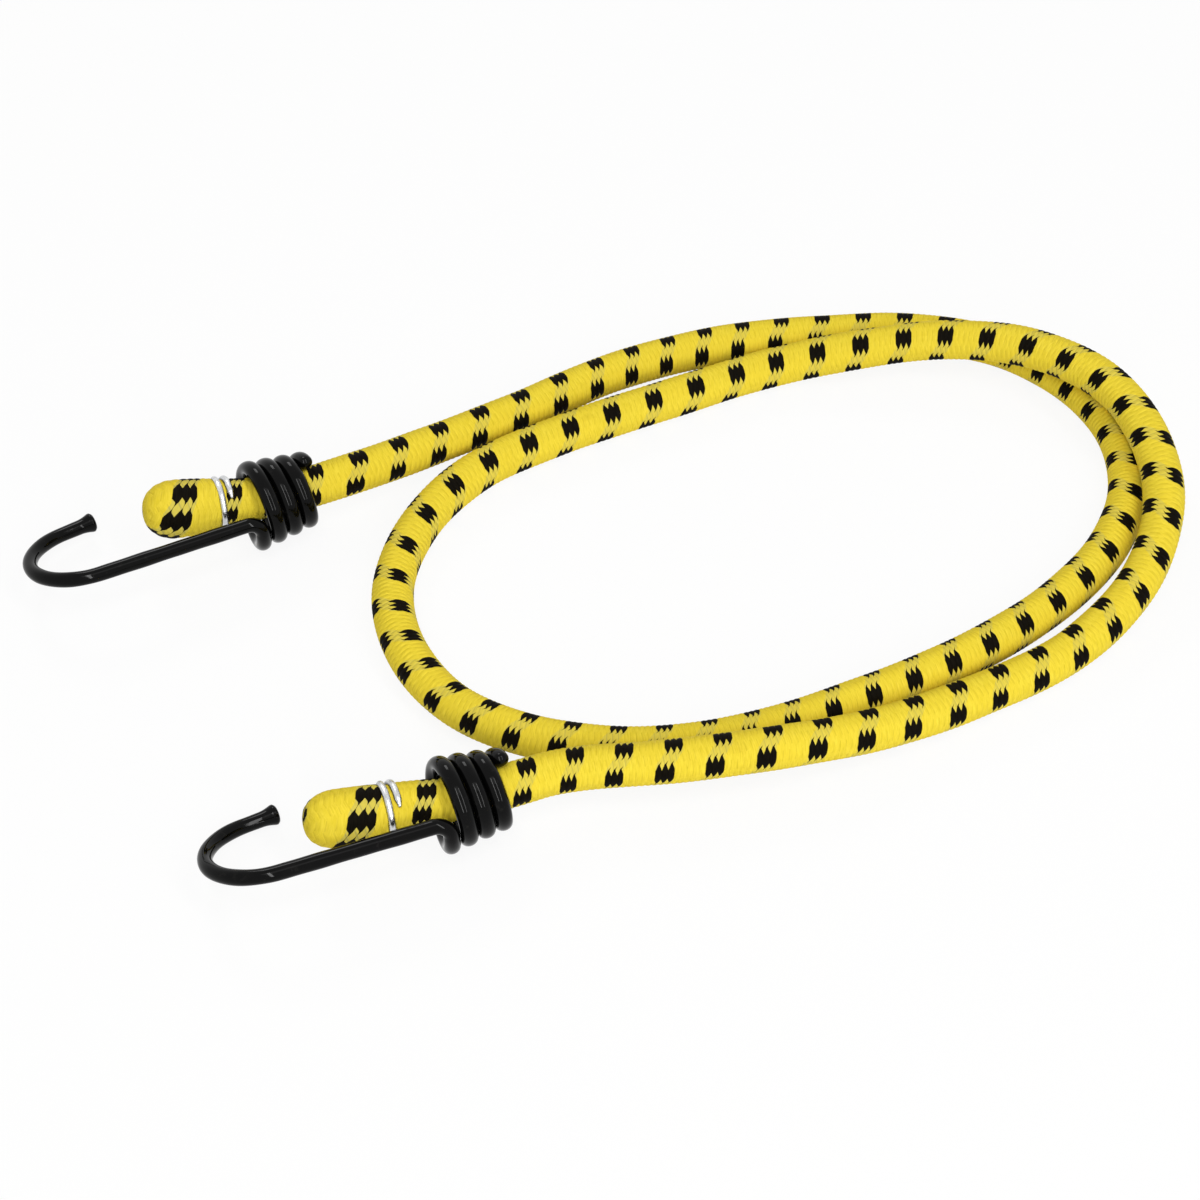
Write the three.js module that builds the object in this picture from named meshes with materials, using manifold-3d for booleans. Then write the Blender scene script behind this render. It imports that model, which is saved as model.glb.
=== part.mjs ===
// Elastic hook cord: a braided rubber cord laid down in two turns, with a coated wire hook wound
// round each end and a wire clip that holds the hook on in front of the swollen cord end.
// Millimetres, +Z up, table at z = 0. Both hooks lie nearly along X and open away from the loops.

import * as THREE from 'three';
import { mergeVertices } from 'three/addons/utils/BufferGeometryUtils.js';
import Module from 'manifold-3d';

const wasm = await Module();
wasm.setup();

// Cord: a rubber core in a braided sheath
const CORD_D = 9;
const SHEATH_WALL = 1.4;
const CORE_GAP = 0.3;
const CORD_SIDES = 8;
const CORD_STEPS = 80;

// Depth of the flat on which the cord lies
const CORD_FLAT = CORD_D / 10;

// Swollen cord end, measured from the middle of the clip
const BULB_D = 12.2;
const BULB_LENGTH = 17.2;
const DOME_LENGTH = 6.8;
const NECK_LENGTH = 1.8;
const TURN_SIDES = 16;

// The cord end curves up and back inside the wide part of the coil, away from the shank
const CURVE_LENGTH = 16;
const CURVE_TOWARDS = THREE.MathUtils.degToRad(45);
const CURVE_STEPS = 6;

// Break between the loops and the cord end that the hook grips, and the straight start of the loops
const END_GAP = 0.4;
const LEAD = 4;

// How far the gripped cord reaches past the free end of the coil
const GRIPPED_RUN = 3;

// Hook: a steel wire in a dipped coating
const WIRE_D = 2.1;
const WIRE_GAP = 0.25;
const COATING_WALL = 0.3;
const COATED_D = WIRE_D + 2 * (WIRE_GAP + COATING_WALL);
const HOOK_SIDES = 6;
const HOOK_STEPS = 106;

// Coil round the cord, widest at the shank so that the shank passes the swollen end
const COIL_TURNS = 3.78;
const TURN_GAP = 0.55;
const COIL_GRIP = 0.4;
const BULB_CLEARANCE = 0.7;
const COIL_PITCH = COATED_D + TURN_GAP;
const COIL_R_FREE = CORD_D / 2 + COIL_GRIP + COATED_D / 2;
const COIL_R_SHANK = BULB_D / 2 + BULB_CLEARANCE + COATED_D / 2;

// Knuckle, shank, bend and tip of the hook
const KNUCKLE_R = 3.2;
const SHANK_LENGTH = 31;
const BEND_R = 12.2;
const BEND_TURN = THREE.MathUtils.degToRad(169.4);
const TIP_LENGTH = 7.3;
const TIP_D = 4.3;
const TIP_FLARE = 3.4;

// Steps at the tip that the wire stops short, inside the coating
const TIP_PLUG_STEPS = 2;

// Clip: a closed ring of bare wire with overlapping ends
const CLIP_WIRE_D = 1.5;
const CLIP_GAP = 0.3;
const CLIP_TURNS = 1.26;
const CLIP_TURN_GAP = 0.6;
const CLIP_START = THREE.MathUtils.degToRad(53);
const CLIP_R = CORD_D / 2 + CLIP_GAP + CLIP_WIRE_D / 2;
const CLIP_PITCH = CLIP_WIRE_D + CLIP_TURN_GAP;
const CLIP_SIDES = 6;
const CLIP_STEPS = 30;

// The coils lie on the table, and each hook leans over towards its tip
const AXIS_Z = COIL_R_SHANK + COATED_D / 2;
const TIP_REACH = BEND_R * (1 - Math.cos(BEND_TURN)) + TIP_LENGTH * Math.sin(BEND_TURN) - COIL_R_SHANK;

// How the two ends lie: the distance between them, how far b lies towards the loops, the turn of
// each from X, how much longer its shank was bent, the height of its tip over the table, how far its
// clip sits behind the knuckle and how steeply the cord end rises
const ENDS_APART = 92.3;
const END_B_AHEAD = 8;
const END_A = { name: 'a', turn: 1.8, longer: 1.5, tipHeight: 1.7, clip: 5.5, rise: 10.9 };
const END_B = { name: 'b', turn: -2.8, longer: 0, tipHeight: 0.1, clip: 9.6, rise: 6.6 };

// Way of the cord from hook a to hook b: x, y and the lift above the table-lying height
const ROUTE = [
  [44, 45, 4.7], [60, 48.5, 1.9], [79, 52, 0.2], [104, 55.5, 0],
  [129, 54, 0], [152, 48, 0], [172, 40, 0], [187, 28.5, 0], [196, 13, 0],
  [198.5, -4, 0], [193, -21.5, 0], [180, -36, 0], [161, -46, 0], [137, -52, 0],
  [111, -54, 0], [86, -53.5, 0], [64, -48, 0], [45.5, -37, 0], [33.5, -22.5, 0],
  [29.5, -5, 0], [33, 12.5, 0], [45, 28, 0], [62, 38, 0], [84, 41.5, 0],
  [114, 42.5, 0], [136, 42.5, 0.1], [156, 37, 3.3], [174.5, 29.5, 5.9], [189, 17.5, 8.3],
  [198, 1, 9.5], [199, -16, 9], [193.5, -34, 6.6], [180, -49, 2.7], [158, -59.5, 0.4],
  [132, -63, 0.3], [110, -64, 2], [89, -62.5, 4.9], [66, -57.5, 6], [49, -52, 6.1],
];

const CORD_R = CORD_D / 2;
const BORE_R = CORD_R - SHEATH_WALL;
const CORE_R = BORE_R - CORE_GAP;
const KNUCKLE_TURN = KNUCKLE_R / COIL_R_SHANK;
const COIL_ANGLE = COIL_TURNS * 2 * Math.PI - KNUCKLE_TURN;
const COIL_LENGTH = (COIL_PITCH * COIL_ANGLE) / (2 * Math.PI);
const GRIPPED_END = COIL_LENGTH + COATED_D / 2 + GRIPPED_RUN;

function ngon(radius, sides) {
  const points = [];
  for (let i = 0; i < sides; i += 1) {
    const angle = (2 * Math.PI * (i + 0.5)) / sides;
    points.push(new THREE.Vector2(radius * Math.cos(angle), radius * Math.sin(angle)));
  }
  return points;
}

function section(outer, bore, sides) {
  const shape = new THREE.Shape(ngon(outer, sides));
  if (bore > 0) {
    shape.holes.push(new THREE.Path(ngon(bore, sides)));
  }
  return shape;
}

function sweep(shape, path, steps) {
  return new THREE.ExtrudeGeometry(shape, { steps, bevelEnabled: false, extrudePath: path });
}

// Profile of [distance along X, radius] pairs turned round the X axis
function turned(profile, sides) {
  const points = profile.map(([x, r]) => new THREE.Vector2(r, x));
  return new THREE.LatheGeometry(points, sides).rotateZ(-Math.PI / 2);
}

function toSolid(geometry) {
  const bare = geometry.clone();
  bare.deleteAttribute('normal');
  bare.deleteAttribute('uv');
  const merged = mergeVertices(bare, 1e-5);
  const vertProperties = new Float32Array(merged.attributes.position.array);
  const triVerts = new Uint32Array(merged.index.array);
  return new wasm.Manifold(new wasm.Mesh({ numProp: 3, vertProperties, triVerts }));
}

function fromSolid(solid) {
  const mesh = solid.getMesh();
  const geometry = new THREE.BufferGeometry();
  geometry.setAttribute('position', new THREE.BufferAttribute(new Float32Array(mesh.vertProperties), 3));
  geometry.setIndex(new THREE.BufferAttribute(new Uint32Array(mesh.triVerts), 1));
  geometry.computeVertexNormals();
  return geometry;
}

function piece(name, geometry, colour, roughness, metalness) {
  const material = new THREE.MeshStandardMaterial({ color: colour, roughness, metalness });
  const mesh = new THREE.Mesh(geometry, material);
  mesh.name = name;
  return mesh;
}

function sheathPiece(name, geometry) {
  return piece(name, geometry, 0xe8d22e, 0.6, 0);
}

function corePiece(name, geometry) {
  return piece(name, geometry, 0xb9a98a, 0.8, 0);
}

// Middle line of the hook wire, from the free end of the coil to the tip. The coil and the knuckle
// wind round the X axis with the shank in front, at -Y; the bend turns back towards +Y.
class HookPath extends THREE.Curve {
  constructor(shank) {
    super();
    const meanRadius = (COIL_R_FREE + COIL_R_SHANK) / 2;
    this.arcLengthDivisions = 2000;
    this.shank = shank;
    this.parts = [
      [COIL_ANGLE * meanRadius, (t) => this.coil(1 - t)],
      [(KNUCKLE_R * Math.PI) / 2, (t) => this.knuckle(1 - t)],
      [shank, (t) => new THREE.Vector3(-KNUCKLE_R - shank * t, -COIL_R_SHANK, 0)],
      [BEND_R * BEND_TURN, (t) => this.bend(BEND_TURN * t)],
      [TIP_LENGTH, (t) => this.bend(BEND_TURN).addScaledVector(this.tipDirection(), TIP_LENGTH * t)],
    ];
    this.total = this.parts.reduce((sum, [length]) => sum + length, 0);
  }

  coil(share) {
    const radius = COIL_R_SHANK + (COIL_R_FREE - COIL_R_SHANK) * share;
    const angle = KNUCKLE_TURN + COIL_ANGLE * share;
    return new THREE.Vector3(COIL_LENGTH * share, -radius * Math.cos(angle), -radius * Math.sin(angle));
  }

  knuckle(share) {
    const bendAngle = (share * Math.PI) / 2;
    const angle = KNUCKLE_TURN * (1 - Math.cos(bendAngle));
    const x = KNUCKLE_R * (Math.sin(bendAngle) - 1);
    return new THREE.Vector3(x, -COIL_R_SHANK * Math.cos(angle), -COIL_R_SHANK * Math.sin(angle));
  }

  bend(angle) {
    const x = -KNUCKLE_R - this.shank - BEND_R * Math.sin(angle);
    return new THREE.Vector3(x, -COIL_R_SHANK + BEND_R * (1 - Math.cos(angle)), 0);
  }

  tipDirection() {
    return new THREE.Vector3(-Math.cos(BEND_TURN), Math.sin(BEND_TURN), 0);
  }

  getPoint(t) {
    let along = t * this.total;
    for (const [length, place] of this.parts.slice(0, -1)) {
      if (along <= length) {
        return place(along / length);
      }
      along -= length;
    }
    const [length, place] = this.parts[this.parts.length - 1];
    return place(along / length);
  }
}

// The first share of another path
class LeadingPart extends THREE.Curve {
  constructor(path, share) {
    super();
    this.path = path;
    this.share = share;
  }

  getPoint(t) {
    return this.path.getPointAt(t * this.share);
  }
}

// Middle line of the clip: over the top to the back, under the cord and up the front again
class ClipPath extends THREE.Curve {
  getPoint(t) {
    const turns = (t - 0.5) * CLIP_TURNS;
    const angle = CLIP_START + t * CLIP_TURNS * 2 * Math.PI;
    return new THREE.Vector3(-CLIP_PITCH * turns, -CLIP_R * Math.cos(angle), CLIP_R * Math.sin(angle));
  }
}

// Least gap between turns of one tube, on points at least half a turn apart
function leastGap(path, thickness, halfTurn) {
  const count = Math.ceil(path.getLength() * 4);
  const points = path.getSpacedPoints(count);
  const apart = Math.ceil((halfTurn / path.getLength()) * count);
  let least = Infinity;
  for (let i = 0; i < points.length; i += 1) {
    for (let j = i + apart; j < points.length; j += 1) {
      least = Math.min(least, points[i].distanceTo(points[j]));
    }
  }
  return least - thickness;
}

// Outside of the cord end and its bore, from the closed dome to the open end that meets the loops
function tailProfile(clip, radius, inset) {
  const dome = -clip - BULB_LENGTH + inset;
  const bulb = BULB_D / 2 - inset;
  const widest = -clip - BULB_LENGTH + DOME_LENGTH;
  const neck = -clip - NECK_LENGTH;
  const profile = [];
  for (let i = 0; i <= 5; i += 1) {
    const angle = (i / 5) * (Math.PI / 2);
    const x = widest - (widest - dome) * Math.cos(angle);
    profile.push([x, bulb * Math.pow(Math.sin(angle), 0.8)]);
  }
  for (let i = 1; i <= 4; i += 1) {
    const share = i / 4;
    const taper = share * share * (3 - 2 * share);
    profile.push([widest + (neck - widest) * share, bulb + (radius - bulb) * taper]);
  }
  for (let i = 0; i <= CURVE_STEPS; i += 1) {
    profile.push([(CURVE_LENGTH * i) / CURVE_STEPS, radius]);
  }
  profile.push([GRIPPED_END, radius]);
  return profile;
}

function tailSheath(clip) {
  const outside = tailProfile(clip, CORD_R, 0);
  const bore = tailProfile(clip, BORE_R, SHEATH_WALL);
  return turned([...outside, ...bore.reverse()], TURN_SIDES);
}

function tailCore(clip) {
  const outside = tailProfile(clip, CORE_R, SHEATH_WALL + CORE_GAP);
  return turned([...outside, [GRIPPED_END, 0]], TURN_SIDES);
}

// Bends what lies along X to the rise of the cord end: round an arc, then straight on
function curved(geometry, rise) {
  const towards = new THREE.Vector3(0, Math.cos(CURVE_TOWARDS), Math.sin(CURVE_TOWARDS));
  const across = new THREE.Vector3(0, -Math.sin(CURVE_TOWARDS), Math.cos(CURVE_TOWARDS));
  const full = THREE.MathUtils.degToRad(rise);
  const radius = CURVE_LENGTH / full;
  const position = geometry.attributes.position;
  const point = new THREE.Vector3();
  for (let i = 0; i < position.count; i += 1) {
    point.fromBufferAttribute(position, i);
    const along = CURVE_LENGTH - point.x;
    const out = point.dot(towards);
    const aside = point.dot(across);
    const angle = THREE.MathUtils.clamp(along / radius, 0, full);
    const rest = along - angle * radius;
    const back = radius * Math.sin(angle) + rest * Math.cos(angle) - out * Math.sin(angle);
    const lift = radius * (1 - Math.cos(angle)) + rest * Math.sin(angle) + out * Math.cos(angle);
    point.set(CURVE_LENGTH - back, 0, 0).addScaledVector(towards, lift).addScaledVector(across, aside);
    position.setXYZ(i, point.x, point.y, point.z);
  }
  geometry.computeVertexNormals();
  return geometry;
}

function hookCoating(path) {
  const bore = WIRE_D / 2 + WIRE_GAP;
  const sleeve = toSolid(sweep(section(COATED_D / 2, bore, HOOK_SIDES), path, HOOK_STEPS));
  const start = 0.8 * (COATED_D / 2);
  const profile = [[-TIP_FLARE, 0]];
  for (let i = 0; i <= 4; i += 1) {
    const share = i / 4;
    profile.push([-TIP_FLARE + TIP_FLARE * 0.85 * share, start + (TIP_D / 2 - start) * share * share]);
  }
  profile.push([0, TIP_D / 2], [0, 0]);
  const flare = turned(profile, 12);
  const end = path.getPoint(1);
  flare.rotateZ(Math.atan2(path.tipDirection().y, path.tipDirection().x));
  flare.translate(end.x, end.y, end.z);
  return fromSolid(sleeve.add(toSolid(flare)));
}

function hookWire(path) {
  const steps = HOOK_STEPS - TIP_PLUG_STEPS;
  const part = new LeadingPart(path, steps / HOOK_STEPS);
  part.arcLengthDivisions = path.arcLengthDivisions;
  return sweep(section(WIRE_D / 2, 0, HOOK_SIDES), part, steps);
}

// Two turns of cord on the table, with the underside of the sheath pressed flat
function cordPath(ends) {
  const lying = CORD_R - CORD_FLAT;
  const start = GRIPPED_END + END_GAP;
  const [first, last] = ends.map((end) => {
    end.updateMatrix();
    return [start, start + LEAD].map((x) => new THREE.Vector3(x, 0, 0).applyMatrix4(end.matrix));
  });
  const middle = ROUTE.map(([x, y, lift]) => new THREE.Vector3(x, y, lying + lift));
  const path = new THREE.CatmullRomCurve3([...first, ...middle, ...last.reverse()], false, 'centripetal');
  path.arcLengthDivisions = 2000;
  return path;
}

function flattened(geometry) {
  geometry.computeBoundingBox();
  const size = geometry.boundingBox.getSize(new THREE.Vector3());
  const centre = geometry.boundingBox.getCenter(new THREE.Vector3());
  const below = new THREE.BoxGeometry(2 * size.x, 2 * size.y, CORD_D);
  below.translate(centre.x, centre.y, -CORD_D / 2);
  return fromSolid(toSolid(geometry).subtract(toSolid(below)));
}

const clipPath = new ClipPath();

// One end of the cord with its clip and its hook, with the coil's wide end at the group's origin
function hookedEnd({ name, turn, longer, tipHeight, clip, rise }) {
  const end = new THREE.Group();
  end.name = `end_${name}`;
  end.rotation.z = THREE.MathUtils.degToRad(turn);
  end.add(sheathPiece(`sheath_end_${name}`, curved(tailSheath(clip), rise)));
  end.add(corePiece(`core_end_${name}`, curved(tailCore(clip), rise)));

  const ring = sweep(section(CLIP_WIRE_D / 2, 0, CLIP_SIDES), clipPath, CLIP_STEPS).translate(-clip, 0, 0);
  end.add(piece(`clip_${name}`, curved(ring, rise), 0xb8bcc0, 0.3, 1));

  const hookPath = new HookPath(SHANK_LENGTH + longer);
  const hook = new THREE.Group();
  hook.name = `hook_${name}`;
  hook.rotation.x = -Math.asin((AXIS_Z - TIP_D / 2 - tipHeight) / TIP_REACH);
  hook.add(piece(`hook_${name}_wire`, hookWire(hookPath), 0x9a9da1, 0.35, 1));
  hook.add(piece(`hook_${name}_coating`, hookCoating(hookPath), 0x1b1b1d, 0.3, 0));
  end.add(hook);
  return end;
}

const endA = hookedEnd(END_A);
const endB = hookedEnd(END_B);
endB.position.set(END_B_AHEAD, -ENDS_APART, 0);

// The origin is at the middle of the footprint of the two hooked ends
const footprint = new THREE.Box3().expandByObject(endA, true).expandByObject(endB, true);
const middle = footprint.getCenter(new THREE.Vector3());
for (const end of [endA, endB]) {
  end.position.sub(middle).setZ(AXIS_Z);
}

const loops = cordPath([endA, endB]);
for (const { name, longer } of [END_A, END_B]) {
  const hookPath = new HookPath(SHANK_LENGTH + longer);
  const gap = leastGap(hookPath, COATED_D, Math.PI * COIL_R_FREE);
  console.log(`hook ${name}: least gap of the coil to itself`, gap.toFixed(2), 'mm');
}
console.log('clip: least gap to itself', leastGap(clipPath, CLIP_WIRE_D, Math.PI * CLIP_R).toFixed(2), 'mm');
console.log('loops: length of the cord between the two ends', loops.getLength().toFixed(0), 'mm');

const cord = new THREE.Group();
cord.name = 'elastic_hook_cord';
cord.add(sheathPiece('sheath_loops', flattened(sweep(section(CORD_R, BORE_R, CORD_SIDES), loops, CORD_STEPS))));
cord.add(corePiece('core_loops', sweep(section(CORE_R, 0, CORD_SIDES), loops, CORD_STEPS)));
cord.add(endA);
cord.add(endB);

export default cord;
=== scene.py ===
"""Elastic hook cord: braided cord in two turns, coated wire hooks and wire clips, on a pale floor."""

import math

import bpy
import numpy as np
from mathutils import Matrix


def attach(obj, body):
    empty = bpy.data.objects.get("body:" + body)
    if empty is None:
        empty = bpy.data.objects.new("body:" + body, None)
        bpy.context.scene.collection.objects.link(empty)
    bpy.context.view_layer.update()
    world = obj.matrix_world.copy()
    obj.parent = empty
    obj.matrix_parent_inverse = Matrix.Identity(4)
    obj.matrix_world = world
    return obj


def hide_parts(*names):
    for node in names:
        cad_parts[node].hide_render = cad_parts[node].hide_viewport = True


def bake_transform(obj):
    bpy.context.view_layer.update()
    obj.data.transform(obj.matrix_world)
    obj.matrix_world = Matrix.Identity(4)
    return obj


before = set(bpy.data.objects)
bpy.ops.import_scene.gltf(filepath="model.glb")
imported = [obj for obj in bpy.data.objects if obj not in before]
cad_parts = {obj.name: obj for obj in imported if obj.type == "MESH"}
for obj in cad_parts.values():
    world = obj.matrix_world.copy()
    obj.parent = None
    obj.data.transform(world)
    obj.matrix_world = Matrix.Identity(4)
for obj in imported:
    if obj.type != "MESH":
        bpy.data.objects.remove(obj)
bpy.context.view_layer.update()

MM = 0.001

# Sizes of the part, in millimetres, as its solids have them
CORD_R = 4.5
BULB_LENGTH = 17.2
DOME_LENGTH = 6.8
COATED_R = 1.6
COIL_TURNS = 3.78
COIL_PITCH = 3.75
COIL_R_FREE = 6.5
COIL_R_SHANK = 8.4
KNUCKLE_R = 3.2
BEND_R = 12.2
BEND_TURN = math.radians(169.4)
TIP_LENGTH = 7.3
TIP_R = 2.15
TIP_FLARE = 3.4
CLIP_R = 5.2
CLIP_WIRE_R = 0.75
CLIP_TURNS = 1.26
CLIP_PITCH = 2.1
CLIP_START = math.radians(53)
AXIS_Z = 10.0
GRIPPED_END = 18.548
CURVE_LENGTH = 16.0
CURVE_TOWARDS = math.radians(45)

# How each hooked end lies: its place, its turn from X, the lean and shank of its hook, its clip, and
# the rise and thickness of its tail, with angles in degrees
ENDS = {
    "a": {
        "x": 11.421, "y": 42.546, "turn": 1.8, "lean": -21.04,
        "shank": 32.5, "clip": 5.5, "rise": 10.9, "bulb": 6.1,
    },
    "b": {
        "x": 19.421, "y": -49.754, "turn": -2.8, "lean": -26.90,
        "shank": 31.0, "clip": 9.6, "rise": 6.6, "bulb": 5.7,
    },
}

# Way of the cord from hook a to hook b: x, y and the lift above the table-lying height
ROUTE = [
    (44, 45, 4.7), (60, 48.5, 1.9), (79, 52, 0.2), (104, 55.5, 0),
    (129, 54, 0), (152, 48, 0), (172, 40, 0), (187, 28.5, 0), (196, 13, 0),
    (198.5, -4, 0), (193, -21.5, 0), (180, -36, 0), (161, -46, 0), (137, -52, 0),
    (111, -54, 0), (86, -53.5, 0), (64, -48, 0), (45.5, -37, 0), (33.5, -22.5, 0),
    (29.5, -5, 0), (33, 12.5, 0), (45, 28, 0), (62, 38, 0), (84, 41.5, 0),
    (114, 42.5, 0), (136, 42.5, 0.1), (156, 37, 3.3), (174.5, 29.5, 5.9), (189, 17.5, 8.3),
    (198, 1, 9.5), (199, -16, 9), (193.5, -34, 6.6), (180, -49, 2.7), (158, -59.5, 0.4),
    (132, -63, 0.3), (110, -64, 2), (89, -62.5, 4.9), (66, -57.5, 6), (49, -52, 6.1),
]

# Straight run from each end to the way, and how much lower the braid lies at its first and last points
LOOP_LEAD = 4.4
SETTLE = {0: 0.6, 1: 0.1, -1: 0.75, -2: 0.5, -3: 0.2}

# How far along X the leads reach from each end before the loops start
LEAD_END_X = 150.0

# The braid along the cord: distance from the coil of hook a, and there the count of its repeats or
# its twist in degrees, rounded at the corners
BRAID_COUNT = [
    (-52, -4.86), (-29, -3.7), (-25, -3.08), (-18, -2.45), (0, -0.41), (18, 1.36), (54, 4.62),
    (70, 6.22), (112, 10.94), (172, 17.26), (210, 21.6), (234, 24.24), (316, 32.94), (342, 35.79),
    (378, 39.56), (438, 46.28), (450, 47.49), (486, 50.81), (558, 57.74), (664, 68.51), (736, 75.62),
    (792, 80.96), (832, 85), (846, 86.35), (858, 87.43), (861, 87.82), (886, 89.32),
]
BRAID_TWIST = [
    (-52, 72), (-30, 72), (-25, 81), (-17, 82), (0, 88.6), (16, 88.5), (42, 81.5), (112, 70.3),
    (150, 75.2), (184, 64.2), (220, 66.6), (254, 57.5), (282, 56), (328, 47.3), (376, 30.8),
    (436, 19.4), (488, 30.5), (580, 30.9), (644, 53.7), (670, 56.6), (680, 52.8), (702, 30.1),
    (724, 16.3), (736, 17), (762, 26.5), (782, 27.1), (816, 8.6), (832, 4.4), (836, 4),
    (844, -7.8), (858, -7.8), (862, 7.9), (886, 7.9),
]
CORNER_REACH = 6
CORNER_STEPS = 21

# Yarns in a repeat, the black ones among them, and the columns of floats round the cord. The tails,
# outside the two counts, have more columns
YARNS = 8
BLACK_YARNS = 3
COLUMNS = 4
TAIL_COLUMNS = 6
TAIL_COUNTS = (-1.7, 86.2)

# Whole repeats added to the count in the UV map, so that it is never negative
COUNT_SHIFT = 16

# How far a floating yarn turns upright, and the share of a column in which it dives back
YARN_BEND = 0.7
TAIL_YARN_BEND = 0.4
DIVE = 0.17

# How much longer than half a column the black floats are, and how far their ends are toothed
FLOAT_SHARE = 0.19
TAIL_FLOAT_SHARE = 0.34
TOOTH = 0.72

# Relief of the braid and the cord's middle radius under it, in millimetres
BRAID_R = 4.36
YARN_RELIEF = 0.13
FLOAT_RELIEF = 0.10
RELIEF_FADE_R = 2.5
LEAST_R = 0.02

# The tails: power of the round tip, where and how the swelling ends, and the bite of the clip
DOME_POWER = 0.85
SWELL_END_X = 8
SWELL_POWER = 1.2
BITE_DEPTH = 0.3
BITE_REACH = 1.7

# The coated wire's rounded end, its flared tip with a rounded rim, and the coating that pooled
# between the turns of the coil
CAP_REACH = 1.0
CAP_LENGTH = 1.2
FLARE_GAIN = 1.25
FLARE_POWER = 1.8
RIM_LENGTH = 0.35
RIM_DEPTH = 0.3
POOLED = 0.23
POOL_START = 3
POOL_END = 12

# The clip's ends: how far they stand off, in which first and last share of the wire, and their points
CLIP_STAND_OFF = 0.25
CLIP_FIRST_SHARE = 0.12
CLIP_LAST_SHARE = 0.15
CLIP_POINT = 0.35
CLIP_POINT_LENGTH = 1.6

# Slight waves along the cord and along the coated wire: height, length and phase
CORD_WAVES = [(0.04, 7.3, 0), (0.03, 3.1, 1)]
WIRE_WAVES = [(0.025, 2.9, 0), (0.02, 1.3, 2)]

# Fineness of the lines and meshes, with steps in millimetres
ROUTE_STEPS = 60
DOME_STEPS = 60
TAIL_STEPS = 200
RING_STEP = 0.25
RING_SIDES = 72
COIL_STEPS = 900
KNUCKLE_STEPS = 40
BEND_STEPS = 160
HOOK_STEP = 0.4
HOOK_SIDES = 24
CLIP_STEPS = 220
CLIP_STEP = 0.25
CLIP_SIDES = 16

# Margin of the rows in the UV map for baking
ROW_MARGIN = 0.03

# The photograph's camera: what it looks at, how far from it in millimetres, its angle above the table
# and its turn to the hooks, with half the picture's width and the focal length in pixels
CAMERA_TARGET = (73.9, -3.9, 0.0)
CAMERA_AWAY = 621.4
CAMERA_ELEVATION = math.radians(48)
CAMERA_TURN = 0.406
HALF_PICTURE = 600
FOCAL_LENGTH = 2900

# Light of the world, the floor with its share of plain white, and the lamps: name, place and size in
# metres, and power in watts
WORLD_STRENGTH = 0.31
FLOOR_SIZE = 6
FLOOR_MIDDLE = (0.07, 0, 0)
FLOOR_WHITE = 0.9
WHITE = (1, 1, 1, 1)
LAMPS = [
    ("key", (-0.25, -0.72, 0.78), (0.09, 1.3), 6.6),
    ("side", (0.42, -0.72, 0.78), (0.09, 1.3), 5.2),
    ("top", (0.05, -0.35, 1.05), (0.9, 0.4), 1.4),
    ("back", (0.1, 0.8, 0.7), (0.3, 0.3), 2.0),
]

# Colours, and the roughness of the metals
YELLOW_DEEP = (0.68, 0.52, 0.025)
YELLOW_PALE = (0.86, 0.68, 0.06)
YELLOW_WARM = (0.80, 0.60, 0.035)
KHAKI = (0.45, 0.42, 0.13)
YARN_BLACK = (0.0015, 0.0012, 0.0008)
YARN_WORN_BLACK = (0.008, 0.006, 0.003)
# Painted shade for the creases between the yarns
CREASE_SHADE = (0.40, 0.30, 0.05)
SOIL = (0.42, 0.30, 0.10)
COATING_BLACK = (0.0015, 0.0015, 0.0015)
COATING_DUST = (0.006, 0.0055, 0.005)
COATING_SCUFF = (0.014, 0.013, 0.012)
CLIP_DARK = (0.52, 0.53, 0.54)
CLIP_LIGHT = (0.70, 0.71, 0.72)
# Painted shade for the clip's flanks that face the cord
CLIP_FLANK_SHADE = (0.05, 0.05, 0.045)
CLIP_ROUGHNESS = 0.26
STEEL_DARK = (0.30, 0.31, 0.33)
STEEL_LIGHT = (0.48, 0.49, 0.51)
STEEL_ROUGHNESS = 0.35
RUBBER_DARK = (0.30, 0.24, 0.15)
RUBBER_LIGHT = (0.50, 0.42, 0.28)
FLOOR_COLOUR = (0.86, 0.86, 0.85, 1)


def make_camera():
    flat = -CAMERA_AWAY * math.cos(CAMERA_ELEVATION)
    height = CAMERA_AWAY * math.sin(CAMERA_ELEVATION)
    offset = np.array([math.sin(CAMERA_TURN) * flat, math.cos(CAMERA_TURN) * flat, height])
    data = bpy.data.cameras.new("camera")
    data.sensor_fit = "HORIZONTAL"
    data.angle = 2 * math.atan(HALF_PICTURE / FOCAL_LENGTH)
    data.clip_start = 0.01
    data.clip_end = 20
    camera = bpy.data.objects.new("camera", data)
    bpy.context.scene.collection.objects.link(camera)
    camera.location = (np.array(CAMERA_TARGET) + offset) * MM
    camera.rotation_euler = (math.pi / 2 - CAMERA_ELEVATION, 0, -CAMERA_TURN)
    bpy.context.scene.camera = camera


def catmull_rom(points, per_span):
    """Centripetal Catmull-Rom curve through the points."""
    points = np.asarray(points, float)
    ends = np.vstack([2 * points[0] - points[1], points, 2 * points[-1] - points[-2]])
    out = []
    for p0, p1, p2, p3 in zip(ends, ends[1:], ends[2:], ends[3:]):
        d0, d1, d2 = (np.sqrt(np.linalg.norm(q - p)) for p, q in ((p0, p1), (p1, p2), (p2, p3)))
        t1 = ((p1 - p0) / d0 - (p2 - p0) / (d0 + d1) + (p2 - p1) / d1) * d1
        t2 = ((p2 - p1) / d1 - (p3 - p1) / (d1 + d2) + (p3 - p2) / d2) * d1
        t = np.linspace(0, 1, per_span, endpoint=False)[:, None]
        cubic = (2 * p1 - 2 * p2 + t1 + t2) * t**3 + (3 * p2 - 3 * p1 - 2 * t1 - t2) * t**2
        out.append(cubic + t1 * t + p1)
    return np.vstack(out + [points[-1:]])


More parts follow.
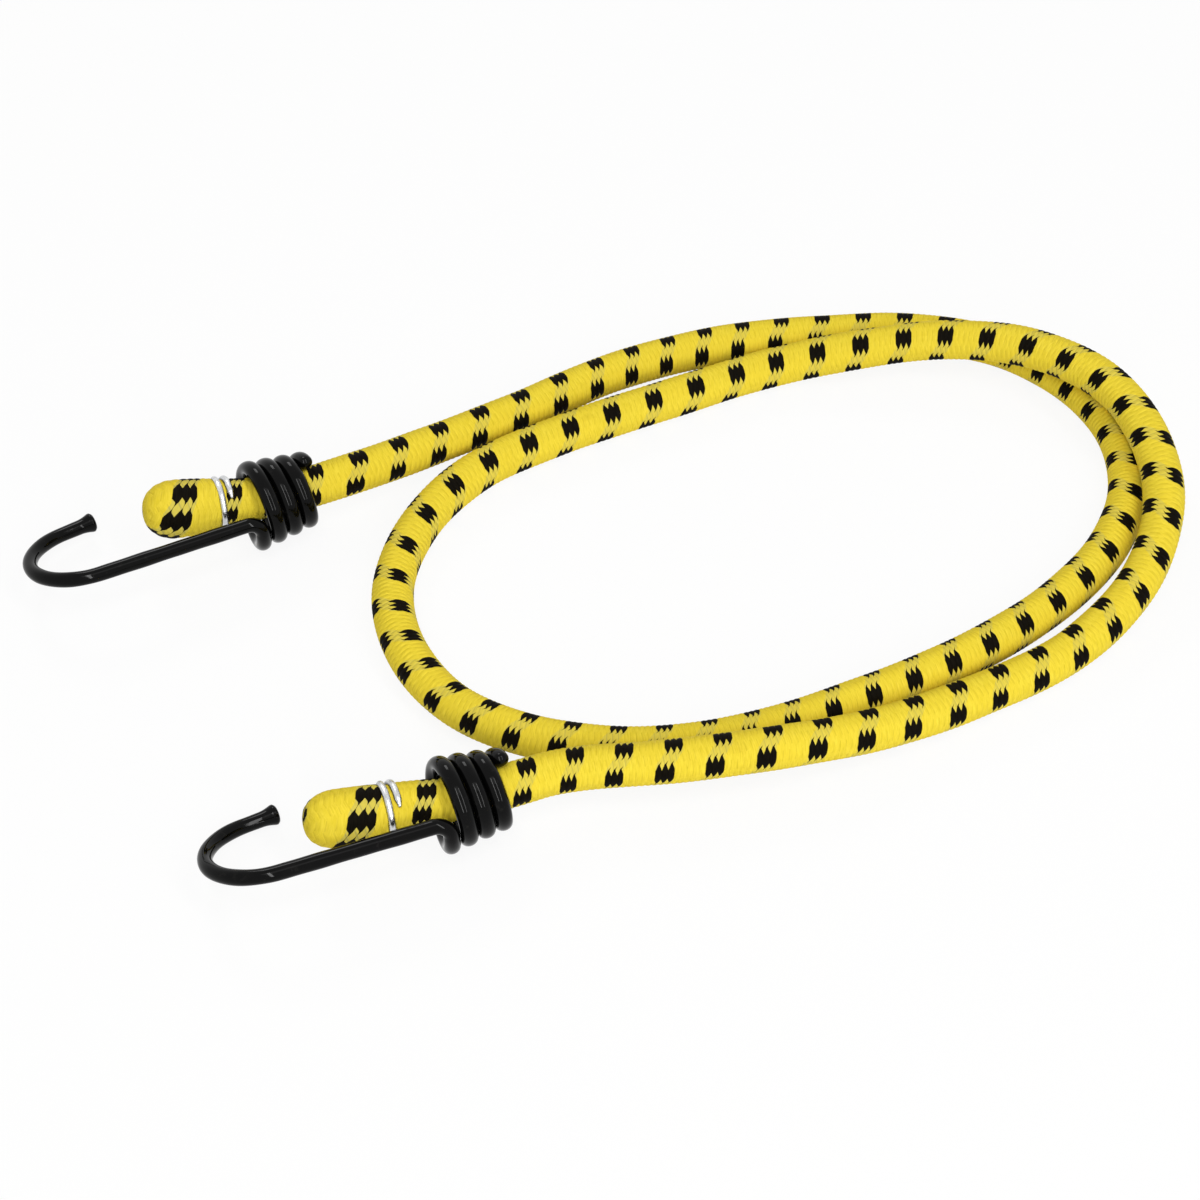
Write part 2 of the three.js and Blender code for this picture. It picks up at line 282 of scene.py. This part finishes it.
def along(line):
    return np.concatenate([[0], np.cumsum(np.linalg.norm(np.diff(line, axis=0), axis=1))])


def evenly(line, step):
    """The distance along the line at even steps, and the line there."""
    s = along(line)
    at = np.linspace(0, s[-1], int(round(s[-1] / step)) + 1)
    return at, np.stack([np.interp(at, s, line[:, k]) for k in range(3)], axis=1)


def unit(vectors):
    return vectors / np.linalg.norm(vectors, axis=1)[:, None]


def waves(s, table):
    return sum(height * np.sin(s / length + phase) for height, length, phase in table)


def smooth_table(table, s):
    """Values of a table of pairs at s, carried on past its ends, with its corners rounded."""
    at, value = np.array(table, float).T
    near = s[:, None] + np.linspace(-CORNER_REACH, CORNER_REACH, CORNER_STEPS)
    before = (value[1] - value[0]) / (at[1] - at[0]) * np.minimum(near - at[0], 0)
    after = (value[-1] - value[-2]) / (at[-1] - at[-2]) * np.maximum(near - at[-1], 0)
    return (np.interp(near, at, value) + before + after).mean(axis=1)


def turned(line, end):
    """Directions in an end's own frame, turned round Z as the end lies."""
    angle = math.radians(ENDS[end]["turn"])
    c, s = math.cos(angle), math.sin(angle)
    x, y, z = line.T
    return np.stack([c * x - s * y, s * x + c * y, z], axis=1)


def in_place(line, end):
    """A line in an end's own frame, where the end lies."""
    return turned(line, end) + [ENDS[end]["x"], ENDS[end]["y"], AXIS_Z]


def ahead(end):
    """The way an end points, from its hook to the loops."""
    return turned(np.array([[1.0, 0, 0]]), end)[0]


def leant(line, angle):
    """A line turned round X."""
    c, s = math.cos(math.radians(angle)), math.sin(math.radians(angle))
    x, y, z = line.T
    return np.stack([x, c * y - s * z, s * y + c * z], axis=1)


def curved(line, rise):
    """A line along X bent to the rise of the cord end, and the heading of the cord at each point."""
    rise = math.radians(rise)
    onward = np.array([1.0, 0, 0])
    towards = np.array([0, math.cos(CURVE_TOWARDS), math.sin(CURVE_TOWARDS)])
    across = np.array([0, -math.sin(CURVE_TOWARDS), math.cos(CURVE_TOWARDS)])
    radius = CURVE_LENGTH / rise
    reach = CURVE_LENGTH - line[:, 0]
    out, aside = line @ towards, line @ across
    angle = np.clip(reach / radius, 0, rise)
    rest = reach - angle * radius
    back = radius * np.sin(angle) + rest * np.cos(angle) - out * np.sin(angle)
    lift = radius * (1 - np.cos(angle)) + rest * np.sin(angle) + out * np.cos(angle)
    points = np.outer(CURVE_LENGTH - back, onward) + np.outer(lift, towards) + np.outer(aside, across)
    heading = np.outer(np.cos(angle), onward) - np.outer(np.sin(angle), towards)
    return points, heading


def loop_line():
    """Middle line of the loops, from end a to end b."""
    lead = np.array([[GRIPPED_END, 0, 0], [GRIPPED_END + LOOP_LEAD, 0, 0]])
    middle = np.array(ROUTE, float) + [0, 0, CORD_R]
    for k, drop in SETTLE.items():
        middle[k, 2] -= drop
    return np.vstack([in_place(lead, "a"), middle, in_place(lead, "b")[::-1]])


def tail_profile(clip, bulb):
    """Meridian of a cord end from its closed tip to the plane where the loops start: x and radius."""
    widest = -clip - BULB_LENGTH + DOME_LENGTH
    angle = np.linspace(0, math.pi / 2, DOME_STEPS)
    dome = np.stack([widest - DOME_LENGTH * np.cos(angle), bulb * np.sin(angle) ** DOME_POWER], axis=1)
    x = np.linspace(widest, GRIPPED_END, TAIL_STEPS)[1:]
    share = np.clip((x - widest) / (SWELL_END_X - widest), 0, 1)
    swell = (1 - share * share * (3 - 2 * share)) ** SWELL_POWER
    bite = BITE_DEPTH * np.exp(-(((x + clip) / BITE_REACH) ** 2))
    run = np.stack([x, BRAID_R + (bulb - BRAID_R) * swell - bite], axis=1)
    return np.vstack([dome, run])


def hook_line(shank):
    """Middle line of a hook in its own frame, from the free end of the coil to the tip."""
    knuckle_turn = KNUCKLE_R / COIL_R_SHANK
    coil_angle = COIL_TURNS * 2 * math.pi - knuckle_turn
    share = np.linspace(1 + CAP_REACH / (COIL_R_FREE * coil_angle), 0, COIL_STEPS)
    radius = COIL_R_SHANK + (COIL_R_FREE - COIL_R_SHANK) * share
    angle = knuckle_turn + coil_angle * share
    x = COIL_PITCH * coil_angle / (2 * math.pi) * share
    coil = np.stack([x, -radius * np.cos(angle), -radius * np.sin(angle)], axis=1)

    turn = np.linspace(math.pi / 2, 0, KNUCKLE_STEPS)[1:]
    angle = knuckle_turn * (1 - np.cos(turn))
    x = KNUCKLE_R * (np.sin(turn) - 1)
    knuckle = np.stack([x, -COIL_R_SHANK * np.cos(angle), -COIL_R_SHANK * np.sin(angle)], axis=1)

    angle = np.linspace(0, BEND_TURN, BEND_STEPS)
    x = -KNUCKLE_R - shank - BEND_R * np.sin(angle)
    bend = np.stack([x, -COIL_R_SHANK + BEND_R * (1 - np.cos(angle)), 0 * angle], axis=1)
    tip = bend[-1] + TIP_LENGTH * np.array([-math.cos(BEND_TURN), math.sin(BEND_TURN), 0])
    return np.vstack([coil, knuckle, bend, tip[None]])


def hook_radius(s):
    """Radius of the coated wire: rounded at the coil's end and flared at the tip."""
    cap = np.clip(s / CAP_LENGTH, 0, 1)
    radius = COATED_R * np.sqrt(np.clip(1 - (1 - cap) ** 2, 0.01, 1))
    back = s[-1] - s
    flare = np.clip(1 - back / TIP_FLARE, 0, 1)
    radius = radius + (TIP_R - COATED_R) * np.clip(flare * FLARE_GAIN, 0, 1) ** FLARE_POWER
    rim = np.clip(back / RIM_LENGTH, 0, 1)
    radius = radius - RIM_DEPTH * (1 - np.sqrt(np.clip(1 - (1 - rim) ** 2, 0, 1)))
    return radius + waves(s, WIRE_WAVES)


def pooled_coating(s):
    """How much coating stays between the turns of the coil."""
    coil = COIL_TURNS * math.pi * (COIL_R_FREE + COIL_R_SHANK)
    return POOLED * np.clip((coil - s) / POOL_END, 0, 1) * np.clip(s / POOL_START, 0, 1)


def clip_line(clip):
    """Middle line of a clip in its end's own frame, with its ends standing off the cord."""
    t = np.linspace(0, 1, CLIP_STEPS)
    angle = CLIP_START + t * CLIP_TURNS * 2 * math.pi
    x = -clip - CLIP_PITCH * (t - 0.5) * CLIP_TURNS
    last = np.clip((t - 1 + CLIP_LAST_SHARE) / CLIP_LAST_SHARE, 0, 1) ** 2
    first = np.clip((CLIP_FIRST_SHARE - t) / CLIP_FIRST_SHARE, 0, 1) ** 2
    radius = CLIP_R + CLIP_STAND_OFF * last + CLIP_STAND_OFF * first
    return np.stack([x, -radius * np.cos(angle), radius * np.sin(angle)], axis=1)


def tube_faces(rings, sides):
    """Ring and side of each face of a tube, and its four corners."""
    i, j = np.meshgrid(np.arange(rings - 1), np.arange(sides), indexing="ij")
    k = (j + 1) % sides
    corners = [i * sides + j, i * sides + k, (i + 1) * sides + k, (i + 1) * sides + j]
    return i, j, np.stack(corners, axis=-1).reshape(-1, 4).tolist()


def new_mesh(name, points, faces):
    mesh = bpy.data.meshes.new(name)
    mesh.from_pydata((points.reshape(-1, 3) * MM).tolist(), [], faces)
    mesh.shade_smooth()
    return mesh


def new_piece(mesh, material):
    mesh.materials.append(material)
    piece = bpy.data.objects.new(mesh.name, mesh)
    bpy.context.scene.collection.objects.link(piece)
    return piece


def braid_relief(count, phi):
    """Height of the yarns over the cord's round: two crossing families that float in columns."""
    turn = phi / (2 * math.pi)
    in_tail = (count < TAIL_COUNTS[0]) | (count > TAIL_COUNTS[1])
    columns = np.where(in_tail, TAIL_COLUMNS, COLUMNS)
    upright = np.where(in_tail, TAIL_YARN_BEND, YARN_BEND)
    lift = np.cos(columns * phi)
    crown = []
    for way, shift in ((1, 0.0), (-1, 0.5)):
        off = np.mod(turn * columns + 0.5 - shift, 1) - 0.5
        fold = np.minimum(np.abs(off), (0.5 - np.abs(off)) * (0.5 - DIVE) / DIVE)
        lean = turn - np.sign(off) * fold * upright / columns
        lane = YARNS * (count + way * lean) + BLACK_YARNS / 2 + shift
        crown.append(1 - (2 * np.mod(lane, 1) - 1) ** 2)
    over = FLOAT_RELIEF * lift + YARN_RELIEF * crown[0]
    under = -FLOAT_RELIEF * lift + YARN_RELIEF * crown[1]
    return np.maximum(over, under) - 0.5 * YARN_RELIEF


def braid_piece(name, s, centre, tangent, radius, material):
    """A braided tube along the centre line, with the braid's own coordinates as a UV map."""
    rings, sides = len(s), RING_SIDES
    up = unit(np.array([0, 0, 1.0]) - tangent * tangent[:, 2:3])
    side = np.cross(tangent, up)
    count = smooth_table(BRAID_COUNT, s)
    twist = np.radians(smooth_table(BRAID_TWIST, s))
    phi = 2 * math.pi * np.arange(sides) / sides
    relief = braid_relief(count[:, None], phi[None, :])
    fade = np.clip(radius / RELIEF_FADE_R, 0, 1)
    reach = radius[:, None] + fade[:, None] * (relief + waves(s, CORD_WAVES)[:, None])
    theta = phi[None, :] + twist[:, None]
    ring = np.cos(theta)[..., None] * up[:, None] + np.sin(theta)[..., None] * side[:, None]
    i, j, faces = tube_faces(rings, sides)
    mesh = new_mesh(name, centre[:, None] + reach[..., None] * ring, faces)

    corner_i = np.stack([i, i, i + 1, i + 1], axis=-1).ravel()
    corner_j = np.stack([j, j + 1, j + 1, j], axis=-1).ravel()
    braid = np.stack([corner_j / sides, count[corner_i] + COUNT_SHIFT], axis=1)
    rows = max(1, int(round(math.sqrt((rings * RING_STEP) / (2 * math.pi * CORD_R)))))
    per_row = math.ceil((rings - 1) / rows)
    row = np.repeat(i.ravel() // per_row, 4)
    in_row = ROW_MARGIN + (1 - 2 * ROW_MARGIN) * corner_j / sides
    sheet = np.stack([(corner_i - row * per_row) / per_row, (row + in_row) / rows], axis=1)
    for layer, values in (("braid", braid), ("OFBake", sheet)):
        mesh.uv_layers.new(name=layer).data.foreach_set("uv", values.astype(np.float32).ravel())
    mesh.uv_layers["braid"].active_render = True
    return new_piece(mesh, material)


def swept_piece(name, line, radius, sides, material, outward=None, axis=(1.0, 0, 0), pooled=0.0):
    """A tube along a line, with a radius at each point, and wider along an axis by what pooled there.

    Where the outward direction is given, the mesh keeps how far each of its points faces that way.
    """
    tangent = unit(np.gradient(line, axis=0))
    normal = np.zeros_like(line)
    n = np.cross(tangent[0], [0.3, 0.5, 0.8])
    for k, t in enumerate(tangent):
        n = n - t * (n @ t)
        n = n / np.linalg.norm(n)
        normal[k] = n
    binormal = np.cross(tangent, normal)
    angle = 2 * math.pi * np.arange(sides)[None, :, None] / sides
    ring = np.cos(angle) * normal[:, None] + np.sin(angle) * binormal[:, None]
    reach = radius[:, None] + np.reshape(pooled, (-1, 1)) * (ring @ np.asarray(axis)) ** 2
    rings = len(line)
    faces = tube_faces(rings, sides)[2]
    faces.append(list(range(sides))[::-1])
    faces.append(list(range((rings - 1) * sides, rings * sides)))
    mesh = new_mesh(name, line[:, None] + reach[..., None] * ring, faces)
    if outward is not None:
        facing = (ring * outward[:, None]).sum(axis=2)
        layer = mesh.attributes.new("outward", "FLOAT", "POINT")
        layer.data.foreach_set("value", facing.astype(np.float32).ravel())
    return new_piece(mesh, material)


class Graph:
    """A material's node tree, with short calls for its arithmetic."""

    def __init__(self, name):
        self.material = bpy.data.materials.new(name)
        self.material.use_nodes = True
        self.tree = self.material.node_tree
        self.shader = self.tree.nodes["Principled BSDF"]

    def node(self, kind, **values):
        made = self.tree.nodes.new(kind)
        for key, value in values.items():
            setattr(made, key, value)
        return made

    def link(self, value, socket):
        if isinstance(value, bpy.types.NodeSocket):
            self.tree.links.new(value, socket)
        else:
            socket.default_value = value

    def math(self, operation, *values):
        made = self.node("ShaderNodeMath", operation=operation)
        for value, socket in zip(values, made.inputs):
            self.link(value, socket)
        return made.outputs[0]

    def mix(self, factor, first, second, blend="MIX"):
        made = self.node("ShaderNodeMix", data_type="RGBA", blend_type=blend)
        self.link(factor, made.inputs[0])
        for value, socket in ((first, made.inputs[6]), (second, made.inputs[7])):
            self.link((*value, 1.0) if isinstance(value, tuple) else value, socket)
        return made.outputs[2]

    def noise(self, vector, scale, detail=2.0, roughness=0.5):
        made = self.node("ShaderNodeTexNoise")
        for key, value in (("Vector", vector), ("Scale", scale), ("Detail", detail), ("Roughness", roughness)):
            self.link(value, made.inputs[key])
        return made.outputs["Fac"]

    def ramp(self, value, low, high, out_low=0.0, out_high=1.0):
        made = self.node("ShaderNodeMapRange", clamp=True)
        keys = ("Value", "From Min", "From Max", "To Min", "To Max")
        for key, number in zip(keys, (value, low, high, out_low, out_high)):
            self.link(number, made.inputs[key])
        return made.outputs[0]

    def stretched(self, x, x_scale, y, y_scale):
        """A flat vector of two values, each times its scale."""
        made = self.node("ShaderNodeCombineXYZ")
        self.link(self.math("MULTIPLY", x, x_scale), made.inputs[0])
        self.link(self.math("MULTIPLY", y, y_scale), made.inputs[1])
        return made.outputs[0]

    def place(self):
        return self.node("ShaderNodeTexCoord").outputs["Object"]

    def bump(self, height, strength, distance):
        made = self.node("ShaderNodeBump")
        for key, value in (("Height", height), ("Strength", strength), ("Distance", distance)):
            self.link(value, made.inputs[key])
        self.link(made.outputs["Normal"], self.shader.inputs["Normal"])

    def set(self, **values):
        for key, value in values.items():
            self.link(value, self.shader.inputs[key.replace("_", " ").title().replace("Ior", "IOR")])


def braid_material():
    """The braid by its UV map: turn round the cord and count of repeats, as braid_relief has them."""
    g = Graph("braided_sheath")
    uv = g.node("ShaderNodeUVMap", uv_map="braid")
    split = g.node("ShaderNodeSeparateXYZ")
    g.link(uv.outputs[0], split.inputs[0])
    turn, count = split.outputs[0], split.outputs[1]
    before = g.math("LESS_THAN", count, TAIL_COUNTS[0] + COUNT_SHIFT)
    after = g.math("GREATER_THAN", count, TAIL_COUNTS[1] + COUNT_SHIFT)
    in_tail = g.math("ADD", before, after)
    columns = g.math("MULTIPLY_ADD", in_tail, TAIL_COLUMNS - COLUMNS, COLUMNS)
    upright = g.math("MULTIPLY_ADD", in_tail, TAIL_YARN_BEND - YARN_BEND, YARN_BEND)
    column = g.math("MULTIPLY", turn, columns)
    lift = g.math("COSINE", g.math("MULTIPLY", column, 2 * math.pi))
    lanes, across = [], []
    for way, shift in (("ADD", 0.0), ("SUBTRACT", 0.5)):
        off = g.math("SUBTRACT", g.math("FRACT", g.math("ADD", column, 0.5 - shift)), 0.5)
        size = g.math("ABSOLUTE", off)
        rest = g.math("MULTIPLY", g.math("SUBTRACT", 0.5, size), (0.5 - DIVE) / DIVE)
        fold = g.math("MULTIPLY", g.math("SIGN", off), g.math("MINIMUM", size, rest))
        bend = g.math("DIVIDE", g.math("MULTIPLY", fold, upright), columns)
        place = g.math(way, count, g.math("SUBTRACT", turn, bend))
        lane = g.math("MULTIPLY_ADD", place, float(YARNS), BLACK_YARNS / 2 + shift)
        lanes.append(lane)
        across.append(g.math("MULTIPLY_ADD", g.math("FRACT", lane), 2.0, -1.0))
    crowns = [g.math("SUBTRACT", 1.0, g.math("MULTIPLY", x, x)) for x in across]
    peak = g.math("SUBTRACT", 1.0, g.math("ABSOLUTE", across[0]))

    # Where the black family lies on top, with toothed and slightly ragged ends
    ragged = g.noise(g.stretched(lanes[0], 3.1, lanes[1], 3.1), 1.0)
    teeth = g.math("MULTIPLY_ADD", peak, 2 * TOOTH, FLOAT_SHARE - TOOTH)
    teeth = g.math("MULTIPLY_ADD", in_tail, TAIL_FLOAT_SHARE - FLOAT_SHARE, teeth)
    lead = g.math("ADD", g.math("ADD", lift, teeth), g.math("MULTIPLY_ADD", ragged, 0.24, -0.12))
    over = g.ramp(lead, -0.05, 0.05)
    yarn = g.math("FLOORED_MODULO", g.math("FLOOR", lanes[0]), float(YARNS))
    tracer = g.math("LESS_THAN", yarn, BLACK_YARNS - 0.5)

    # Fibres along the yarn on top, and slow changes of tone along the cord
    fibres = [g.noise(g.stretched(lanes[k], 7.0, lanes[1 - k], 0.6), 1.0, 3.0, 0.6) for k in (0, 1)]
    fibre = g.mix(over, fibres[1], fibres[0])
    crown = g.mix(over, crowns[1], crowns[0])
    tone = g.noise(g.stretched(turn, 5.0, count, 0.9), 1.0, 3.0)

    # Yellow yarns, through which black ones under them show as khaki
    yellow = g.mix(g.ramp(fibre, 0.3, 0.7), YELLOW_DEEP, YELLOW_PALE)
    yellow = g.mix(g.ramp(tone, 0.35, 0.7, 0.0, 0.4), yellow, YELLOW_WARM)
    peep = g.math("MULTIPLY", tracer, g.ramp(crowns[1], 0.0, 0.5, 0.56, 0.29))
    peep = g.math("MULTIPLY", peep, g.math("MULTIPLY_ADD", in_tail, 0.5, 1.0))
    laid = g.mix(peep, yellow, KHAKI)
    black = g.mix(g.ramp(fibre, 0.3, 0.75), YARN_BLACK, YARN_WORN_BLACK)
    crossing = g.mix(tracer, yellow, black)
    colour = g.mix(over, laid, crossing)
    # Painted shade: the creases between the yarns are darkened
    colour = g.mix(g.ramp(crown, 0.0, 0.4, 0.24, 0.0), colour, CREASE_SHADE, "MULTIPLY")
    soil = g.ramp(g.noise(g.place(), 90.0, 4.0, 0.6), 0.62, 0.78, 0.0, 0.22)
    colour = g.mix(soil, colour, SOIL, "MULTIPLY")
    g.set(base_color=colour, roughness=g.ramp(fibre, 0.2, 0.8, 0.7, 0.55), specular_ior_level=0.03)
    g.bump(g.math("ADD", g.math("MULTIPLY", fibre, 0.6), g.math("MULTIPLY", crown, 0.5)), 0.4, 0.00012)
    return g.material


def coating_material():
    g = Graph("dipped_coating")
    place = g.place()
    dust = g.ramp(g.noise(place, 260.0, 5.0, 0.65), 0.56, 0.75)
    scuff = g.ramp(g.noise(place, 620.0, 3.0), 0.62, 0.72)
    colour = g.mix(g.math("MULTIPLY", dust, 0.35), COATING_BLACK, COATING_DUST)
    colour = g.mix(g.math("MULTIPLY", scuff, 0.4), colour, COATING_SCUFF)
    rough = g.ramp(g.noise(place, 180.0, 3.0), 0.3, 0.7, 0.05, 0.09)
    rough = g.math("ADD", rough, g.math("MULTIPLY", dust, 0.05))
    g.set(base_color=colour, roughness=rough, specular_ior_level=0.1)
    g.bump(g.noise(place, 240.0), 0.1, 0.0004)
    return g.material


def metal_material(name, dark, light, rough, flank_shade=None):
    """Bare wire, with painted shade on the flanks that face the cord, where a shade colour is given."""
    g = Graph(name)
    place = g.place()
    spangle = g.noise(place, 700.0, 4.0, 0.6)
    drawn = g.noise(place, 2400.0)
    colour = g.mix(g.ramp(spangle, 0.35, 0.65), dark, light)
    if flank_shade is not None:
        # Painted shade: the sides of the wire that face the cord are darkened
        facing = g.node("ShaderNodeAttribute", attribute_name="outward").outputs["Fac"]
        colour = g.mix(g.ramp(facing, 0.1, 0.6), flank_shade, colour)
    rough = g.ramp(drawn, 0.3, 0.7, rough - 0.07, rough + 0.1)
    g.set(base_color=colour, roughness=rough, metallic=1.0)
    g.bump(g.math("ADD", drawn, g.math("MULTIPLY", spangle, 0.6)), 0.3, 0.0001)
    return g.material


def rubber_material():
    g = Graph("rubber_core")
    strands = g.noise(g.place(), 900.0, 3.0)
    g.set(base_color=g.mix(g.ramp(strands, 0.3, 0.7), RUBBER_DARK, RUBBER_LIGHT))
    g.set(roughness=g.ramp(strands, 0.3, 0.7, 0.7, 0.9))
    g.bump(strands, 0.4, 0.0002)
    return g.material


def seen_directly(tree):
    """1 for rays from the camera, in reflections and through clear things, and 0 for the light."""
    path = tree.nodes.new("ShaderNodeLightPath")
    seen = path.outputs["Is Camera Ray"]
    for name in ("Is Glossy Ray", "Is Transmission Ray"):
        either = tree.nodes.new("ShaderNodeMath")
        either.operation = "MAXIMUM"
        tree.links.new(seen, either.inputs[0])
        tree.links.new(path.outputs[name], either.inputs[1])
        seen = either.outputs[0]
    return seen


def mix_shaders(tree, share, first, second, output):
    """A share of the second shader over the first, as what the tree puts out."""
    mix = tree.nodes.new("ShaderNodeMixShader")
    for value, socket in zip((share, first, second), mix.inputs):
        tree.links.new(value, socket)
    tree.links.new(mix.outputs[0], tree.nodes[output].inputs["Surface"])


def floor_material():
    """White to the camera and in reflections, with a share of real shade so that shadows stay."""
    g = Graph("pale_floor")
    g.set(base_color=FLOOR_COLOUR, roughness=0.8, specular_ior_level=0.1)
    glow = g.node("ShaderNodeEmission")
    g.link(WHITE, glow.inputs["Color"])
    g.link(1.0, glow.inputs["Strength"])
    share = g.math("MULTIPLY", seen_directly(g.tree), FLOOR_WHITE)
    mix_shaders(g.tree, share, g.shader.outputs[0], glow.outputs[0], "Material Output")
    return g.material


def blend_end(piece):
    """Bake a lead's placement into its mesh."""
    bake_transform(piece)


def make_loops(material):
    """The braided sheath between the two ends, split where the leads turn into the loops, and its length."""
    s, centre = evenly(catmull_rom(loop_line(), ROUTE_STEPS), RING_STEP)
    tangent = np.gradient(centre, axis=0)
    tangent[0], tangent[-1] = ahead("a"), -ahead("b")
    tangent = unit(tangent)
    radius = np.full(len(s), BRAID_R)
    lead_a = int(np.argmax(centre[:, 0] > LEAD_END_X))
    lead_b = len(s) - 1 - int(np.argmax(centre[::-1, 0] > LEAD_END_X))
    half = (lead_a + lead_b) // 2
    spans = {
        "braid_lead_a": (0, lead_a),
        "braid_loop_1": (lead_a, half),
        "braid_loop_2": (half, lead_b),
        "braid_lead_b": (lead_b, len(s) - 1),
    }
    made = {}
    for name, (start, stop) in spans.items():
        part = slice(start, stop + 1)
        made[name] = braid_piece(name, s[part], centre[part], tangent[part], radius[part], material)
    for name, (start, stop) in spans.items():
        piece = made[name]
        if name == "braid_lead_a":
            blend_end(piece)
        elif name == "braid_lead_b":
            blend_end(piece)
        else:
            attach(piece, "loops")
    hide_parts("sheath_loops", "core_loops")
    return s[-1]


def make_tails(material, total):
    """The swollen cord ends, with the braid counted on from the loops' two ends."""
    for end in "ab":
        profile = tail_profile(ENDS[end]["clip"], ENDS[end]["bulb"])
        line = np.stack([profile[:, 0], 0 * profile[:, 0], profile[:, 1]], axis=1)
        at, meridian = evenly(line, RING_STEP)
        middle, heading = curved(meridian * [1, 0, 0], ENDS[end]["rise"])
        middle, heading = in_place(middle, end), turned(heading, end)
        radius = np.maximum(meridian[:, 2], LEAST_R)
        where = at - at[-1]
        if end == "b":
            where, heading = total - where, -heading
            where, middle, heading, radius = where[::-1], middle[::-1], heading[::-1], radius[::-1]
        piece = braid_piece(f"braid_end_{end}", where, middle, heading, radius, material)
        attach(piece, f"end_{end}")
        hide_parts(f"sheath_end_{end}", f"core_end_{end}")


def make_hooks(coating, clip_metal):
    for end in "ab":
        s, line = evenly(hook_line(ENDS[end]["shank"]), HOOK_STEP)
        line = in_place(leant(line, ENDS[end]["lean"]), end)
        hook = swept_piece(
            f"hook_{end}_skin",
            line,
            hook_radius(s),
            HOOK_SIDES,
            coating,
            axis=ahead(end),
            pooled=pooled_coating(s),
        )
        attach(hook, f"hook_{end}")
        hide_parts(f"hook_{end}_coating")

        s, line = evenly(clip_line(ENDS[end]["clip"]), CLIP_STEP)
        from_end = np.minimum(s, s[-1] - s)
        point = CLIP_POINT + (1 - CLIP_POINT) * from_end / CLIP_POINT_LENGTH
        middle = in_place(curved(line * [1, 0, 0], ENDS[end]["rise"])[0], end)
        line = in_place(curved(line, ENDS[end]["rise"])[0], end)
        radius = CLIP_WIRE_R * np.clip(point, 0, 1)
        ring = swept_piece(f"ring_{end}", line, radius, CLIP_SIDES, clip_metal, unit(line - middle))
        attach(ring, f"end_{end}")
        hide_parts(f"clip_{end}")


def dress_solids(materials):
    """Give the solids inside the cord and the hooks their materials, by a word in their names."""
    for node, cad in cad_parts.items():
        for word, material in materials.items():
            if word in node:
                cad.data.materials.clear()
                cad.data.materials.append(material)


def make_stage():
    bpy.ops.mesh.primitive_plane_add(size=FLOOR_SIZE, location=FLOOR_MIDDLE)
    floor = bpy.context.object
    floor.name = "floor"
    floor.data.materials.append(floor_material())

    world = bpy.data.worlds.new("studio")
    bpy.context.scene.world = world
    world.use_nodes = True
    tree = world.node_tree
    light = tree.nodes["Background"]
    light.inputs["Color"].default_value = WHITE
    light.inputs["Strength"].default_value = WORLD_STRENGTH
    white = tree.nodes.new("ShaderNodeBackground")
    white.inputs["Color"].default_value = WHITE
    mix_shaders(tree, seen_directly(tree), light.outputs[0], white.outputs[0], "World Output")

    for name, place, size, power in LAMPS:
        data = bpy.data.lights.new(name, "AREA")
        data.shape = "RECTANGLE"
        data.size, data.size_y = size
        data.energy = power
        lamp = bpy.data.objects.new(name, data)
        bpy.context.scene.collection.objects.link(lamp)
        lamp.location = place
        lamp.rotation_euler = (math.atan2(-place[1], place[2]), 0, 0)


make_camera()
sheath = braid_material()
make_tails(sheath, make_loops(sheath))
coating = coating_material()
clip_metal = metal_material("galvanised_clip", CLIP_DARK, CLIP_LIGHT, CLIP_ROUGHNESS, CLIP_FLANK_SHADE)
make_hooks(coating, clip_metal)
steel = metal_material("drawn_steel", STEEL_DARK, STEEL_LIGHT, STEEL_ROUGHNESS)
dress_solids({"wire": steel, "core": rubber_material()})
make_stage()

bpy.context.scene.view_settings.view_transform = "Standard"
